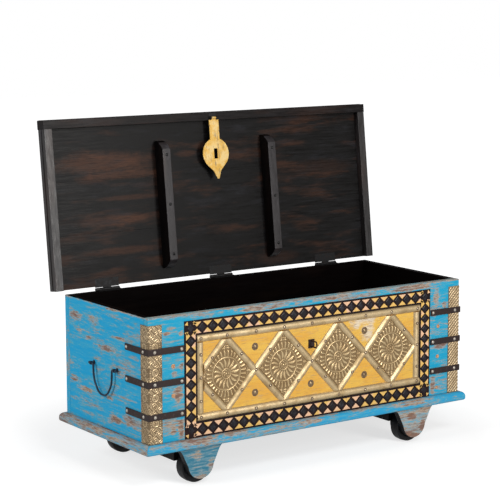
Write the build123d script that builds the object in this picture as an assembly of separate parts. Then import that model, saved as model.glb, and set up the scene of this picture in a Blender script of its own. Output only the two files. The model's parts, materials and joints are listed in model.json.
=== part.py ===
from build123d import *
import math
import os

# Painted wooden chest on four small wheels: hinged lid with a brass hasp, drop handles on the
# sides, brass corner angles under iron straps, and a decorated front with four embossed diamonds.
#
# Sizes are in millimetres. Each piece is modelled about the middle of the box's underside, with X
# to the right, Y to the back and Z up. The saved chest stands on Z = 0, with the lid open, and its
# origin is the middle of the whole chest's footprint.

# ---- driving dimensions ----
body_length = 1040
body_depth = 430
body_height = 328
wall = 20
bottom_thickness = 14

plinth_height = 25
plinth_reach = 17
plinth_width = 75
plinth_top_radius = 13
plinth_low_radius = 6

lid_overhang = 30
lid_depth = 465
lid_thickness = 17
lid_rim_drop = 18
lid_rim_width = 25
lid_gap = 0.6
lid_open_angle = 96.7

hinge_behind_wall = 13
hinge_length = 75
hinge_leaf = 2
leaf_on_wall = 15
leaf_on_lid = 22
hinge_spacing = 379
knuckle_radius = 4.5
hinge_pin_radius = 2
running_gap = 0.05

wheel_radius = 45
wheel_width = 32
wheel_clear = 3
wheel_drop = 82
wheel_rim_radius = 3
axle_radius = 6
foot_spacing = 365
bracket_thickness = 20
bracket_face = 219

decor_half_length = 412
decor_height = 309
decor_recess = 6
backing_thickness = 4
border_width = 38
border_thickness = 3
strip_width = 21
strip_height = 6
diamond_pitch = 184
diamond_shift = -6
diamond_strip_width = 20
diamond_half_height = 97
decor_middle = 156

hasp_x = -5
hasp_pivot_reach = 446
hasp_pivot_stand = 24
hasp_plate = 2.5
hasp_slot_drop = 102
staple_reach = 27

handle_half_span = 60
handle_height = 168
handle_stand = 10
handle_rod_radius = 2.7

# ---- worked out from the driving dimensions ----
half_length = body_length / 2
half_depth = body_depth / 2
side_inner = half_length - wall
front_inner = half_depth - wall
floor_drop = wheel_drop + wheel_radius
hinge_y = half_depth + hinge_behind_wall
hinge_z = body_height + lid_gap / 2
lid_under = body_height + lid_gap
lid_half = half_length + lid_overhang
lid_back = half_depth + 5
lid_front = lid_back - lid_depth
backing_face = -half_depth + decor_recess - backing_thickness
hasp_pivot_y = lid_back - hasp_pivot_reach
hasp_pivot_z = lid_under - hasp_pivot_stand
staple_z = hasp_pivot_z - hasp_slot_drop
bracket_back = -bracket_face + bracket_thickness
wheel_front = bracket_back + wheel_clear
wheel_centre = wheel_front + wheel_width / 2

# The open lid leans back past the hinge, so the box round the whole chest is centred behind it.
lean = math.radians(lid_open_angle)
lid_top = lid_under + lid_thickness
back_reach = (
    hinge_y
    + (lid_front - hinge_y) * math.cos(lean)
    + (lid_top - hinge_z) * math.sin(lean)
)
front_reach = backing_face - staple_reach
centre_y = (back_reach + front_reach) / 2
chest_place = Pos(0, -centre_y, floor_drop)


# ---- shared steps ----
def block(x0, x1, y0, y1, z0, z1):
    """A box between two corners."""
    return Pos((x0 + x1) / 2, (y0 + y1) / 2, (z0 + z1) / 2) * Box(x1 - x0, y1 - y0, z1 - z0)


def rod_x(radius, length):
    """A round bar centred on the origin, along X."""
    return Rot(0, 90, 0) * Cylinder(radius, length)


def rod_y(radius, length):
    """A round bar centred on the origin, along Y."""
    return Rot(90, 0, 0) * Cylinder(radius, length)


def flip_x(shape):
    """The same piece on the other side, left to right."""
    return mirror(shape, about=Plane.YZ)


def flip_y(shape):
    """The same piece on the other side, front to back."""
    return mirror(shape, about=Plane.XZ)


def open_lid(shape):
    """Swings a piece of the closed lid back to where the lid stands open."""
    return Pos(0, hinge_y, hinge_z) * Rot(-lid_open_angle, 0, 0) * Pos(0, -hinge_y, -hinge_z) * shape


def save(name, *shapes):
    """Writes one piece, or a group of like pieces, in the chest's own frame."""
    solids = [solid for shape in shapes for solid in shape.solids()]
    placed = [chest_place * solid for solid in solids]
    whole = placed[0] if len(placed) == 1 else Compound(placed)
    export_step(whole, os.path.join("parts", f"{name}.step"))


def dome_nail(head_radius, head_height, shank_radius, shank_length):
    """A nail along Y: its domed head stands out to the front and its shank goes to the back."""
    ball = (head_radius**2 + head_height**2) / (2 * head_height)
    head = Pos(0, ball - head_height, 0) * Sphere(ball)
    head = head & block(-ball, ball, -head_height, 0, -ball, ball)
    shank = Pos(0, shank_length / 2, 0) * rod_y(shank_radius, shank_length)
    return head + shank


def half_round(length, width, height):
    """A bar along X with a flat back on Y = 0 and a rounded front."""
    radius = (width**2 / 4 + height**2) / (2 * height)
    bar = Pos(0, radius - height, 0) * rod_x(radius, length)
    return bar & block(-length / 2, length / 2, -height, 0, -width / 2, width / 2)


# ---- the box: four boards and a bottom ----
def hinge_places():
    return [-hinge_spacing, 0, hinge_spacing]


def front_panel():
    """The front board, with a shallow recess for the decoration."""
    board = block(-half_length, half_length, -half_depth, -front_inner, 0, body_height)
    recess_back = -half_depth + decor_recess
    return board - block(
        -decor_half_length, decor_half_length, -half_depth, recess_back, 0, decor_height
    )


def back_panel():
    """The back board, notched for the hinge leaves in its top edge."""
    board = block(-half_length, half_length, front_inner, half_depth, 0, body_height)
    for x in hinge_places():
        board -= block(
            x - hinge_length / 2,
            x + hinge_length / 2,
            half_depth - leaf_on_wall,
            half_depth,
            body_height - hinge_leaf,
            body_height,
        )
    return board


def side_panel():
    return block(-half_length, -side_inner, -front_inner, front_inner, 0, body_height)


def bottom_board():
    return block(-side_inner, side_inner, -front_inner, front_inner, 0, bottom_thickness)


# ---- the plinth: four mitred mouldings under the box ----
def plinth_moulding(length, outer):
    """A moulding along X whose rounded nose faces the front, mitred at both ends."""
    nose = -outer - plinth_reach
    bar = block(
        -length / 2 - plinth_reach,
        length / 2 + plinth_reach,
        nose,
        nose + plinth_width,
        -plinth_height,
        0,
    )
    front_edges = bar.edges().filter_by(Axis.X).sort_by(Axis.Y)[:2]
    bar = fillet(front_edges.sort_by(Axis.Z)[-1], plinth_top_radius)
    low_edge = bar.edges().filter_by(Axis.X).sort_by(Axis.Z)[:2].sort_by(Axis.Y)[0]
    bar = fillet(low_edge, plinth_low_radius)
    end = length / 2 + plinth_reach
    cut = Polygon(
        (-end, nose), (end, nose), (end - plinth_width, nose + plinth_width),
        (-end + plinth_width, nose + plinth_width), align=None,
    )
    return bar & Pos(0, 0, -plinth_height) * extrude(cut, plinth_height)


# ---- feet: rails, brackets, wheels and axles ----
rail_half = 47
rail_low = -70
rail_clear = 4
block_half = 24
block_thickness = 20
axle_in_bracket = 12
right_feet_in = 8


def right_foot(shape):
    """The same piece under the right end, where the feet stand a little further in."""
    return Pos(-right_feet_in, 0, 0) * flip_x(shape)


def foot_rail():
    """A bar from front to back under one end of the box."""
    end = wheel_front + wheel_width + rail_clear
    middle = -foot_spacing
    return block(middle - rail_half, middle + rail_half, end, -end, rail_low, -plinth_height)


def axle_block():
    """Holds the inner end of one axle under the rail."""
    front = wheel_front + wheel_width + rail_clear
    back = front + block_thickness
    thickness = back - front
    middle = Pos(0, (front + back) / 2, -wheel_drop)
    shape = middle * rod_y(block_half, thickness) & block(
        -block_half, block_half, front, back, -floor_drop, rail_low
    )
    shape += block(-block_half, block_half, front, back, -wheel_drop, rail_low)
    return Pos(-foot_spacing, 0, 0) * (shape - middle * rod_y(axle_radius, thickness))


def foot_bracket():
    """The shaped plate in front of a wheel, with a blind hole for the axle behind."""
    top, tip_radius, drop = 69, 39, 8
    side = math.sqrt(tip_radius**2 - drop**2)
    down = (-drop, -side)
    turn = 180 - 2 * math.degrees(math.asin(drop / tip_radius))
    flare = Spline(
        (top, -plinth_height), (55, -42), (46.5, -60), (side, -80), tangents=[(-1, -0.6), down]
    )
    outline = flare + JernArc((side, -80), down, tip_radius, -turn)
    outline += mirror(flare, about=Plane.YZ)
    outline += Line((-top, -plinth_height), (top, -plinth_height))
    plate = extrude(Plane.XZ * make_face(outline), bracket_thickness)
    plate = Pos(0, bracket_back, 0) * plate
    hole_y = bracket_back - axle_in_bracket / 2
    hole = Pos(0, hole_y, -wheel_drop) * rod_y(axle_radius, axle_in_bracket)
    return Pos(-foot_spacing, 0, 0) * (plate - hole)


def wheel_axle():
    front = bracket_back - axle_in_bracket
    back = wheel_front + wheel_width + rail_clear + block_thickness
    pin = Pos(0, (front + back) / 2, -wheel_drop) * rod_y(axle_radius, back - front)
    return Pos(-foot_spacing, 0, 0) * pin


def wheel():
    """A plain turned wheel with eased rims."""
    disc = rod_y(wheel_radius, wheel_width)
    disc = fillet(disc.edges(), wheel_rim_radius)
    disc -= rod_y(axle_radius + running_gap, wheel_width)
    return Pos(-foot_spacing, wheel_centre, -wheel_drop) * disc


# ---- metal on the front corners ----
angle_sheet = 1.2
strap_sheet = 2.5
strap_height = 17
strap_centres = {"top": 240, "middle": 156, "bottom": 71}
strap_front_end = 414
strap_side_end = 105


def corner_shell(reach_front, reach_side, thickness, z0, z1):
    """An upright angle of sheet round the front left corner of the box."""
    outer = block(
        -half_length - thickness, -reach_front, -half_depth - thickness, -reach_side, z0, z1
    )
    return outer - block(-half_length, 0, -half_depth, 0, z0, z1)


def corner_angle():
    return corner_shell(half_length - 40, half_depth - 36, angle_sheet, 0, decor_height)


def corner_strap(centre):
    """An iron strap bent round the corner, over the brass angle."""
    low = centre - strap_height / 2
    high = centre + strap_height / 2
    thickness = angle_sheet + strap_sheet
    strap = corner_shell(strap_front_end, strap_side_end, thickness, low, high)
    return strap - corner_angle()


def strap_nails():
    """Four domed nails in each strap of the left corner."""
    nail = dome_nail(4.5, 2.4, 1.6, 15)
    face = half_depth + angle_sheet + strap_sheet
    side_face = half_length + angle_sheet + strap_sheet
    nails = []
    for z in strap_centres.values():
        for x in (-half_length + 17, -strap_front_end - 8):
            nails.append(Pos(x, -face, z) * nail)
        for y in (-half_depth + 21, -strap_side_end - 7):
            nails.append(Pos(-side_face, y, z) * Rot(0, 0, -90) * nail)
    return nails


# ---- the decorated front ----
opening_half = decor_half_length - border_width
border_bottom = 41
border_top = 39
opening_low = border_bottom
opening_high = decor_height - border_top
field_half = opening_half - strip_width
field_low = opening_low + strip_width
field_high = opening_high - strip_width


def panel_backing():
    return block(
        -decor_half_length,
        decor_half_length,
        backing_face,
        backing_face + backing_thickness,
        0,
        decor_height,
    )


def border_bar(*corners):
    """One mitred bar of the border, given by its four corners seen from the front."""
    bar = extrude(Plane.XZ * make_face(Polyline(*corners, close=True)), border_thickness)
    return Pos(0, backing_face, 0) * bar


def border_bars():
    outer = [
        (-decor_half_length, 0),
        (decor_half_length, 0),
        (decor_half_length, decor_height),
        (-decor_half_length, decor_height),
    ]
    inner = [
        (-opening_half, opening_low),
        (opening_half, opening_low),
        (opening_half, opening_high),
        (-opening_half, opening_high),
    ]
    names = ["bottom", "right", "top", "left"]
    bars = {}
    for side, name in enumerate(names):
        after = (side + 1) % 4
        bars[name] = border_bar(outer[side], outer[after], inner[after], inner[side])
    return bars


def long_strips():
    """The half-round brass strips along the top and the bottom of the opening."""
    strip = half_round(2 * opening_half, strip_width, strip_height)
    heights = (opening_low + strip_width / 2, opening_high - strip_width / 2)
    return [Pos(0, backing_face, z) * strip for z in heights]


def short_strips():
    """The half-round brass strips up both ends of the opening, between the long ones."""
    strip = Rot(0, 90, 0) * half_round(field_high - field_low, strip_width, strip_height)
    middle = (field_low + field_high) / 2
    places = (-opening_half + strip_width / 2, opening_half - strip_width / 2)
    return [Pos(x, backing_face, middle) * strip for x in places]


def side_points():
    """Where the slanting strips cross, at mid height."""
    return [diamond_shift + step * diamond_pitch for step in range(-2, 3)]


def field_space():
    """The space inside the frame of half-round strips."""
    front = backing_face - strip_height
    return block(-field_half, field_half, front, backing_face, field_low, field_high)


def slanting_strips(direction):
    """Strips at one slant, cut off square against the frame of the opening."""
    rise = math.degrees(math.atan2(2 * diamond_half_height, diamond_pitch))
    strip = Rot(0, -direction * rise, 0) * half_round(340, diamond_strip_width, strip_height)
    field = field_space()
    return [Pos(x, backing_face, decor_middle) * strip & field for x in side_points()]


def falling_strips(rising):
    """The strips at the other slant, cut where the rising strips pass."""
    pieces = []
    for strip in slanting_strips(-1):
        for other in rising:
            strip = strip - other
        pieces.append(strip)
    return pieces


def diamond_centres():
    points = side_points()
    return [(left + right) / 2 for left, right in zip(points, points[1:])]


rosette_sheet = 1.2
rosette_rings = ((55, 2.4), (38, 3.2), (13, 5))


def rosette_plate():
    """An embossed brass sheet that fills one diamond between the strips."""
    half_width = diamond_pitch / 2
    across = half_width * diamond_half_height / math.hypot(half_width, diamond_half_height)
    inside = 1 - diamond_strip_width / 2 / across
    wide = half_width * inside
    tall = diamond_half_height * inside
    outline = Polyline((wide, 0), (0, tall), (-wide, 0), (0, -tall), close=True)
    plate = extrude(Plane.XZ * make_face(outline), rosette_sheet)
    for radius, height in rosette_rings:
        plate += Pos(0, -height / 2, 0) * rod_y(radius, height)
    return plate


def rosette_plates():
    """One sheet in each diamond, trimmed at the frame of the opening."""
    plate = rosette_plate()
    field = field_space()
    return [Pos(x, backing_face, decor_middle) * plate & field for x in diamond_centres()]


def panel_tacks():
    """Small round tacks along the strips, and one stud in each yellow triangle but the staple's."""
    tack = dome_nail(3, 1.6, 1.2, strip_height + 4)
    face = backing_face - strip_height + 0.8
    tacks = []
    strip_middles = (opening_low + strip_width / 2, opening_high - strip_width / 2)
    end = opening_half - strip_width / 2
    for x in side_points()[1:4]:
        for z in (decor_middle, *strip_middles):
            tacks.append(Pos(x, face, z) * tack)
    for x in (-end, end):
        for z in (strip_middles[0], 94, decor_middle, 217, strip_middles[1]):
            tacks.append(Pos(x, face, z) * tack)
    for x in diamond_centres():
        for z in strip_middles:
            tacks.append(Pos(x, face, z) * tack)
        for side in (-1, 1):
            for slant in (-1, 1):
                place = Pos(
                    x + side * diamond_pitch / 4, face, decor_middle + slant * diamond_half_height / 2
                )
                tacks.append(place * tack)
    stud = dome_nail(6.5, 3.5, 1.5, 8)
    for x in side_points()[1:4]:
        tacks.append(Pos(x, backing_face, 93) * stud)
        if x != diamond_shift:
            tacks.append(Pos(x, backing_face, 217) * stud)
    return tacks


def padlock_staple():
    """An upright U of round iron that the hasp's slot drops over."""
    rod = 2
    half_gap = 8
    out = backing_face - staple_reach + rod
    inside = backing_face + 12
    path = FilletPolyline(
        (hasp_x, inside, staple_z + half_gap),
        (hasp_x, out, staple_z + half_gap),
        (hasp_x, out, staple_z - half_gap),
        (hasp_x, inside, staple_z - half_gap),
        radius=6,
    )
    staple = sweep(Plane(origin=path @ 0, z_dir=path % 0) * Circle(rod), path=path)
    plate = block(
        hasp_x - 10, hasp_x + 10, backing_face - 1.5, backing_face, staple_z - 12, staple_z + 12
    )
    return staple + plate


# ---- drop handles ----
def handle_eyes():
    """Two iron eyes in the left side, each on a round plate."""
    eye_x = -half_length - handle_stand
    eyes = []
    for y in (-handle_half_span, handle_half_span):
        plate = Pos(-half_length - 0.75, 0, 0) * rod_x(6, 1.5)
        neck = Pos(-half_length - handle_stand / 2, 0, 0) * rod_x(2.8, handle_stand)
        shank = Pos(-half_length + 6, 0, 0) * rod_x(2.5, 12)
        barrel = Pos(eye_x, 0, 0) * rod_y(5, 6)
        eye = plate + neck + shank + barrel
        eye -= Pos(eye_x, 0, 0) * rod_y(handle_rod_radius + running_gap, 6)
        eyes.append(Pos(0, y, handle_height) * eye)
    return eyes


def handle_bail():
    """The swinging bail, bent from one round rod whose ends turn out through the eyes."""
    end = handle_half_span + 8
    path = FilletPolyline(
        (0, -end, 0),
        (0, -49, 0),
        (0, -46, -41),
        (0, -20, -76),
        (0, 20, -76),
        (0, 46, -41),
        (0, 49, 0),
        (0, end, 0),
        radius=[5, 55, 36, 36, 55, 5],
    )
    rod = sweep(Plane(origin=path @ 0, z_dir=path % 0) * Circle(handle_rod_radius), path=path)
    for y in (-end, end):
        rod += Pos(0, y, 0) * Sphere(3.6)
    return Pos(-half_length - handle_stand, 0, handle_height) * rod


# ---- hinges ----
knuckle_clear = 1
screw_steps = (-25, 0, 25)
middle_knuckle = 25


def knuckle(x0, x1, bore):
    """One stretch of hinge barrel."""
    tube = rod_x(knuckle_radius, x1 - x0) - rod_x(bore, x1 - x0)
    return Pos((x0 + x1) / 2, hinge_y, hinge_z) * tube


def bore_out(shape, radius):
    return shape - Pos(0, hinge_y, hinge_z) * rod_x(radius, hinge_length)


def hinge_screw(z, y, downwards):
    """A countersunk screw, flush in its leaf."""
    sign = -1 if downwards else 1
    head = Pos(0, y, z + sign * hinge_leaf / 2) * Cylinder(3, hinge_leaf)
    shank = Pos(0, y, z + sign * (hinge_leaf + 5)) * Cylinder(1.5, 10)
    return head + shank


def box_screws(x):
    y = half_depth - leaf_on_wall / 2
    return [Pos(x + step, 0, 0) * hinge_screw(body_height, y, True) for step in screw_steps]


def lid_screws(x):
    y = lid_back - leaf_on_lid / 2
    return [Pos(x + step, 0, 0) * hinge_screw(lid_under, y, False) for step in screw_steps]


def box_leaf(x):
    """The leaf in the back board, with the two outer stretches of the barrel."""
    half = hinge_length / 2
    near = hinge_y - knuckle_radius - knuckle_clear
    wall_y = half_depth - leaf_on_wall
    low = body_height - hinge_leaf
    leaf = block(-half, half, wall_y, near, low, body_height)
    for x0, x1 in ((-half, -middle_knuckle / 2 - 0.3), (middle_knuckle / 2 + 0.3, half)):
        leaf += block(x0, x1, near, hinge_y, low, body_height)
        leaf += knuckle(x0, x1, hinge_pin_radius)
    leaf = Pos(x, 0, 0) * bore_out(leaf, hinge_pin_radius)
    for screw in box_screws(x):
        leaf -= screw
    return leaf


def lid_leaf(x):
    """The leaf under the lid, with the middle stretch of the barrel."""
    half = hinge_length / 2
    near = hinge_y - knuckle_radius - knuckle_clear
    leaf = block(-half, half, lid_back - leaf_on_lid, near, lid_under, lid_under + hinge_leaf)
    x0, x1 = -middle_knuckle / 2, middle_knuckle / 2
    leaf += block(x0, x1, near, hinge_y, lid_under, lid_under + hinge_leaf)
    leaf += knuckle(x0, x1, hinge_pin_radius)
    leaf = Pos(x, 0, 0) * bore_out(leaf, hinge_pin_radius + running_gap)
    for screw in lid_screws(x):
        leaf -= screw
    return leaf


def hinge_pin(x):
    return Pos(x, hinge_y, hinge_z) * rod_x(hinge_pin_radius, hinge_length)


# ---- the lid, closed ----
def lid_boards():
    """Three boards, edge to edge, let in round the hinge leaves at the back."""
    half = lid_half - lid_rim_width
    width = (lid_depth - lid_rim_width) / 3
    names = ["back", "middle", "front"]
    boards = {}
    for step, name in enumerate(names):
        y1 = lid_back - step * width
        boards[name] = block(-half, half, y1 - width, y1, lid_under, lid_top)
    for x in hinge_places():
        boards["back"] -= block(
            x - hinge_length / 2,
            x + hinge_length / 2,
            lid_back - leaf_on_lid,
            lid_back,
            lid_under,
            lid_under + hinge_leaf,
        )
    return boards


def rim_bar(length):
    """A rim bar along X, with its outer face to the front: a stepped edge with a fine groove."""
    low = lid_under - lid_rim_drop
    bar = block(-length / 2, length / 2, 0, lid_rim_width, low, lid_top)
    outer_top = bar.edges().filter_by(Axis.X).sort_by(Axis.Z)[2:].sort_by(Axis.Y)[0]
    bar = fillet(outer_top, 5)
    groove_z = lid_under - 2
    bar -= block(-length / 2, length / 2, 0, 2.5, groove_z - 1.5, groove_z + 1.5)
    bar -= block(-length / 2, length / 2, 0, 1.5, low, groove_z)
    return bar


def lid_rim_front():
    return Pos(0, lid_front, 0) * rim_bar(2 * lid_half)


def lid_rim_side():
    """The left rim bar, behind the front one."""
    length = lid_depth - lid_rim_width
    bar = Rot(0, 0, -90) * rim_bar(length)
    return Pos(-lid_half, lid_back - length / 2, 0) * bar


batten_x = 181
batten_width = 26
batten_depth = 42
batten_near = 31
batten_far = 390


def lid_batten():
    """A stiffening batten on edge under the lid, with hollowed ends."""
    y0 = lid_back - batten_far
    y1 = lid_back - batten_near
    low = lid_under - batten_depth
    slope = 25
    outline = Polyline((y1 - slope, low), (y0 + slope, low))
    outline += ThreePointArc((y0 + slope, low), (y0 + 9, low + 15), (y0, lid_under - 6))
    outline += Polyline((y0, lid_under - 6), (y0, lid_under), (y1, lid_under), (y1, lid_under - 6))
    outline += ThreePointArc((y1, lid_under - 6), (y1 - 9, low + 15), (y1 - slope, low))
    bar = extrude(Plane.YZ * make_face(outline), batten_width)
    return Pos(-batten_x - batten_width / 2, 0, 0) * bar


def batten_screws():
    """Three dome-headed screws in the left batten."""
    screw = Rot(90, 0, 0) * dome_nail(4.5, 2.2, 2, 46)
    low = lid_under - batten_depth
    middle = (batten_near + batten_far) / 2
    places = (batten_near + 40, middle, batten_far - 40)
    return [Pos(-batten_x, lid_back - reach, low) * screw for reach in places]


# ---- the hasp ----
knuckle_half = 7
lug_thickness = 3
lug_gap = 0.3
hasp_pin_radius = 2
hasp_knuckle_radius = 4


def at_hasp_pivot(shape):
    return Pos(hasp_x, hasp_pivot_y, hasp_pivot_z) * shape


def hasp_eye():
    """A plate under the front rim with two lugs for the hasp's pin."""
    rim_under = lid_under - lid_rim_drop - hasp_pivot_z
    plate = block(-12, 12, -15, 6, rim_under - 1.5, rim_under)
    inner = knuckle_half + lug_gap
    outer = inner + lug_thickness
    for side in (-1, 1):
        x0, x1 = sorted((side * inner, side * outer))
        plate += block(x0, x1, -4.5, 4.5, 0, rim_under)
        plate += Pos(side * (inner + outer) / 2, 0, 0) * rod_x(4.5, lug_thickness)
    plate -= rod_x(hasp_pin_radius + running_gap, 2 * outer)
    return at_hasp_pivot(plate)


def hasp_pin():
    length = 2 * (knuckle_half + lug_gap + lug_thickness) + 2
    return at_hasp_pivot(rod_x(hasp_pin_radius, length))


def hasp():
    """A leaf-shaped brass hasp with a slot and a lifted tip, hanging from the pin."""
    widest, leaf_radius = -102, 44
    neck_half, neck_top = 16, -5.6
    corner = leaf_radius / math.sqrt(2)
    tail_half, tail_top, tip = 12, widest - leaf_radius * math.sqrt(2) + 12, -174.5
    outline = Pos(0, (neck_top + widest) / 2) * Rectangle(2 * neck_half, neck_top - widest)
    outline += Pos(0, widest) * Circle(leaf_radius)
    outline += make_face(
        Polyline(
            (-corner, widest - corner),
            (corner, widest - corner),
            (tail_half, tail_top),
            (3, tip),
            (-3, tip),
            (-tail_half, tail_top),
            close=True,
        )
    )
    outline += Pos(0, neck_top / 2 - 2) * Rectangle(2 * knuckle_half, -neck_top + 4)
    outline -= Pos(0, -hasp_slot_drop) * Rectangle(12, 29)
    plate = extrude(Plane.XZ * outline, hasp_plate / 2, both=True)
    fold = -140
    lift = 9
    upper = plate & block(-60, 60, -10, 10, fold, 10)
    lower = plate & block(-60, 60, -10, 10, tip - 5, fold)
    lower = Pos(0, 0, fold) * Rot(-lift, 0, 0) * Pos(0, 0, -fold) * lower
    fold_half = corner + (tail_half - corner) * (fold - widest + corner) / (tail_top - widest + corner)
    crease = Pos(0, 0, fold) * rod_x(hasp_plate / 2, 2 * fold_half)
    shape = upper + lower + crease + rod_x(hasp_knuckle_radius, 2 * knuckle_half)
    shape -= rod_x(hasp_pin_radius + running_gap, 2 * knuckle_half)
    return at_hasp_pivot(Rot(90, 0, 0) * shape)


# ---- write every piece ----
def write_box():
    save("front_panel", front_panel())
    save("back_panel", back_panel())
    save("left_panel", side_panel())
    save("right_panel", flip_x(side_panel()))
    save("bottom_board", bottom_board())
    front = plinth_moulding(body_length, half_depth)
    side = Rot(0, 0, -90) * plinth_moulding(body_depth, half_length)
    save("plinth_front", front)
    save("plinth_back", flip_y(front))
    save("plinth_left", side)
    save("plinth_right", flip_x(side))


def write_feet():
    save("foot_rail_left", foot_rail())
    save("foot_rail_right", right_foot(foot_rail()))
    groups = {"axle_blocks": axle_block(), "wheel_axles": wheel_axle()}
    for name, piece in groups.items():
        pair = [piece, right_foot(piece)]
        save(name, *pair, *[flip_y(one) for one in pair])
    for name, piece in (("foot_bracket", foot_bracket()), ("wheel", wheel())):
        save(f"{name}_front_left", piece)
        save(f"{name}_front_right", right_foot(piece))
        save(f"{name}_back_left", flip_y(piece))
        save(f"{name}_back_right", right_foot(flip_y(piece)))


def write_corners():
    angle = corner_angle()
    straps = [corner_strap(centre) for centre in strap_centres.values()]
    nails = strap_nails()
    save("corner_angle_left", angle)
    save("corner_angle_right", flip_x(angle))
    save("corner_straps_left", *straps)
    save("corner_straps_right", *[flip_x(strap) for strap in straps])
    save("strap_nails", *nails, *[flip_x(nail) for nail in nails])


def write_front():
    save("panel_backing", panel_backing())
    for name, bar in border_bars().items():
        save(f"border_{name}", bar)
    save("brass_strips_long", *long_strips())
    save("brass_strips_short", *short_strips())
    rising = slanting_strips(1)
    save("diamond_strips_rising", *rising)
    save("diamond_strips_falling", *falling_strips(rising))
    save("rosette_plates", *rosette_plates())
    save("panel_tacks", *panel_tacks())
    save("padlock_staple", padlock_staple())


def write_handles():
    eyes = handle_eyes()
    save("handle_eyes_left", *eyes)
    save("handle_eyes_right", *[flip_x(eye) for eye in eyes])
    save("handle_left", handle_bail())
    save("handle_right", flip_x(handle_bail()))


def write_hinges():
    places = hinge_places()
    save("hinge_box_leaves", *[box_leaf(x) for x in places])
    save("hinge_lid_leaves", *[open_lid(lid_leaf(x)) for x in places])
    save("hinge_pins", *[hinge_pin(x) for x in places])
    save("hinge_box_screws", *[screw for x in places for screw in box_screws(x)])
    save("hinge_lid_screws", *[open_lid(screw) for x in places for screw in lid_screws(x)])


def write_lid():
    for name, board in lid_boards().items():
        save(f"lid_board_{name}", open_lid(board))
    save("lid_rim_front", open_lid(lid_rim_front()))
    save("lid_rim_left", open_lid(lid_rim_side()))
    save("lid_rim_right", open_lid(flip_x(lid_rim_side())))
    save("lid_batten_left", open_lid(lid_batten()))
    save("lid_batten_right", open_lid(flip_x(lid_batten())))
    screws = batten_screws()
    save("batten_screws", *[open_lid(screw) for screw in screws + [flip_x(one) for one in screws]])
    save("hasp_eye", open_lid(hasp_eye()))
    save("hasp_pin", open_lid(hasp_pin()))
    save("hasp", open_lid(hasp()))


os.makedirs("parts", exist_ok=True)
write_box()
write_feet()
write_corners()
write_front()
write_handles()
write_hinges()
write_lid()
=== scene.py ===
import json
import math

import bmesh
import bpy
from mathutils import Matrix, Vector

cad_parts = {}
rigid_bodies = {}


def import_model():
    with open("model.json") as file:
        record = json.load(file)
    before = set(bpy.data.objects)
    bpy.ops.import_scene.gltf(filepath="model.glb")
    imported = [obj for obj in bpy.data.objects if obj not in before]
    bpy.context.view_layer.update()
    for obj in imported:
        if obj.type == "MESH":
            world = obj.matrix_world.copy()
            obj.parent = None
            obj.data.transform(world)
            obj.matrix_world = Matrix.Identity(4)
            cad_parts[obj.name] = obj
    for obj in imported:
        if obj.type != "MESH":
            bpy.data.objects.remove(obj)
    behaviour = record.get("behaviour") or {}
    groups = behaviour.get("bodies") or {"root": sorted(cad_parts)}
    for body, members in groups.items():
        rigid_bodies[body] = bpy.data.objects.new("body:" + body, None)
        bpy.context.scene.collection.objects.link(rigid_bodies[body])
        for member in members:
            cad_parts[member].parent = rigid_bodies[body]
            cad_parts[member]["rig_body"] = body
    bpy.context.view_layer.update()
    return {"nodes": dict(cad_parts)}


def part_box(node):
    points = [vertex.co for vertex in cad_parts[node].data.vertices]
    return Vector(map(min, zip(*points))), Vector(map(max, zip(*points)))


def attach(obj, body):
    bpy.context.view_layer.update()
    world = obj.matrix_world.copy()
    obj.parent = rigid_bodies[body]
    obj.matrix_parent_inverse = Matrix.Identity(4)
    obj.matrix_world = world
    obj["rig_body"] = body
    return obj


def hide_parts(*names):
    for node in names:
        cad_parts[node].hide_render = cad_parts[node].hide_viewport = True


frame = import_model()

# ---- camera, floor and studio light ----
# A long lens at standing height looks along the chest from its front left corner.
# The floor is plain and pale. It glows, faintly as light on the chest and brightly to the camera,
# and the glow dims round the chest as painted shade. Three soft panels and a pale surround light the room.
scene = bpy.context.scene
scene.view_settings.view_transform = "Standard"
camera = bpy.data.objects.new("camera", bpy.data.cameras.new("camera"))
camera.location = (-2.7544, -3.9037, 1.2841)
camera.rotation_euler = (math.radians(81.31), math.radians(0.12), math.radians(-34.87))
camera.data.lens = 124.75
camera.data.sensor_width = 36
scene.collection.objects.link(camera)
scene.camera = camera


def set_input(tree, socket, value):
    """A socket's value, or a link from another socket."""
    if isinstance(value, bpy.types.NodeSocket):
        tree.links.new(value, socket)
    else:
        socket.default_value = value


def add_node(tree, kind, inputs=(), **settings):
    """A shader node with its settings and its inputs, given as pairs of input and value."""
    made = tree.nodes.new("ShaderNode" + kind)
    for name, value in settings.items():
        setattr(made, name, value)
    for name, value in inputs:
        set_input(tree, made.inputs[name], value)
    return made


def soft_panel(name, place, aim, size, power, colour):
    """A rectangular studio light that faces a point."""
    light = bpy.data.lights.new(name, "AREA")
    light.shape = "RECTANGLE"
    light.size, light.size_y = size
    light.energy = power
    light.color = colour
    panel = bpy.data.objects.new(name, light)
    panel.location = place
    panel.rotation_euler = (Vector(aim) - Vector(place)).to_track_quat("-Z", "Y").to_euler()
    scene.collection.objects.link(panel)


soft_panel("light_right", (0.9, -4.2, 1.5), (0, 0.1, 0.5), (0.9, 2.2), 95, (1, 0.98, 0.95))
soft_panel("light_front", (-0.6, -3.2, 3.2), (0, -0.2, 0.2), (1.6, 1.0), 62, (1, 1, 1))
soft_panel("light_left", (-4.4, 0.3, 2.6), (-0.4, 0, 0.2), (2.0, 2.0), 118, (0.97, 0.99, 1))

world = bpy.data.worlds.new("studio")
scene.world = world
world.use_nodes = True
sky = world.node_tree
seen = add_node(sky, "LightPath").outputs["Is Camera Ray"]
surround = sky.nodes["Background"]
surround.inputs["Color"].default_value = (1, 1, 1, 1)
strength = add_node(sky, "MapRange", [("Value", seen), ("To Min", 0.20), ("To Max", 1.0)])
sky.links.new(strength.outputs[0], surround.inputs["Strength"])

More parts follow.
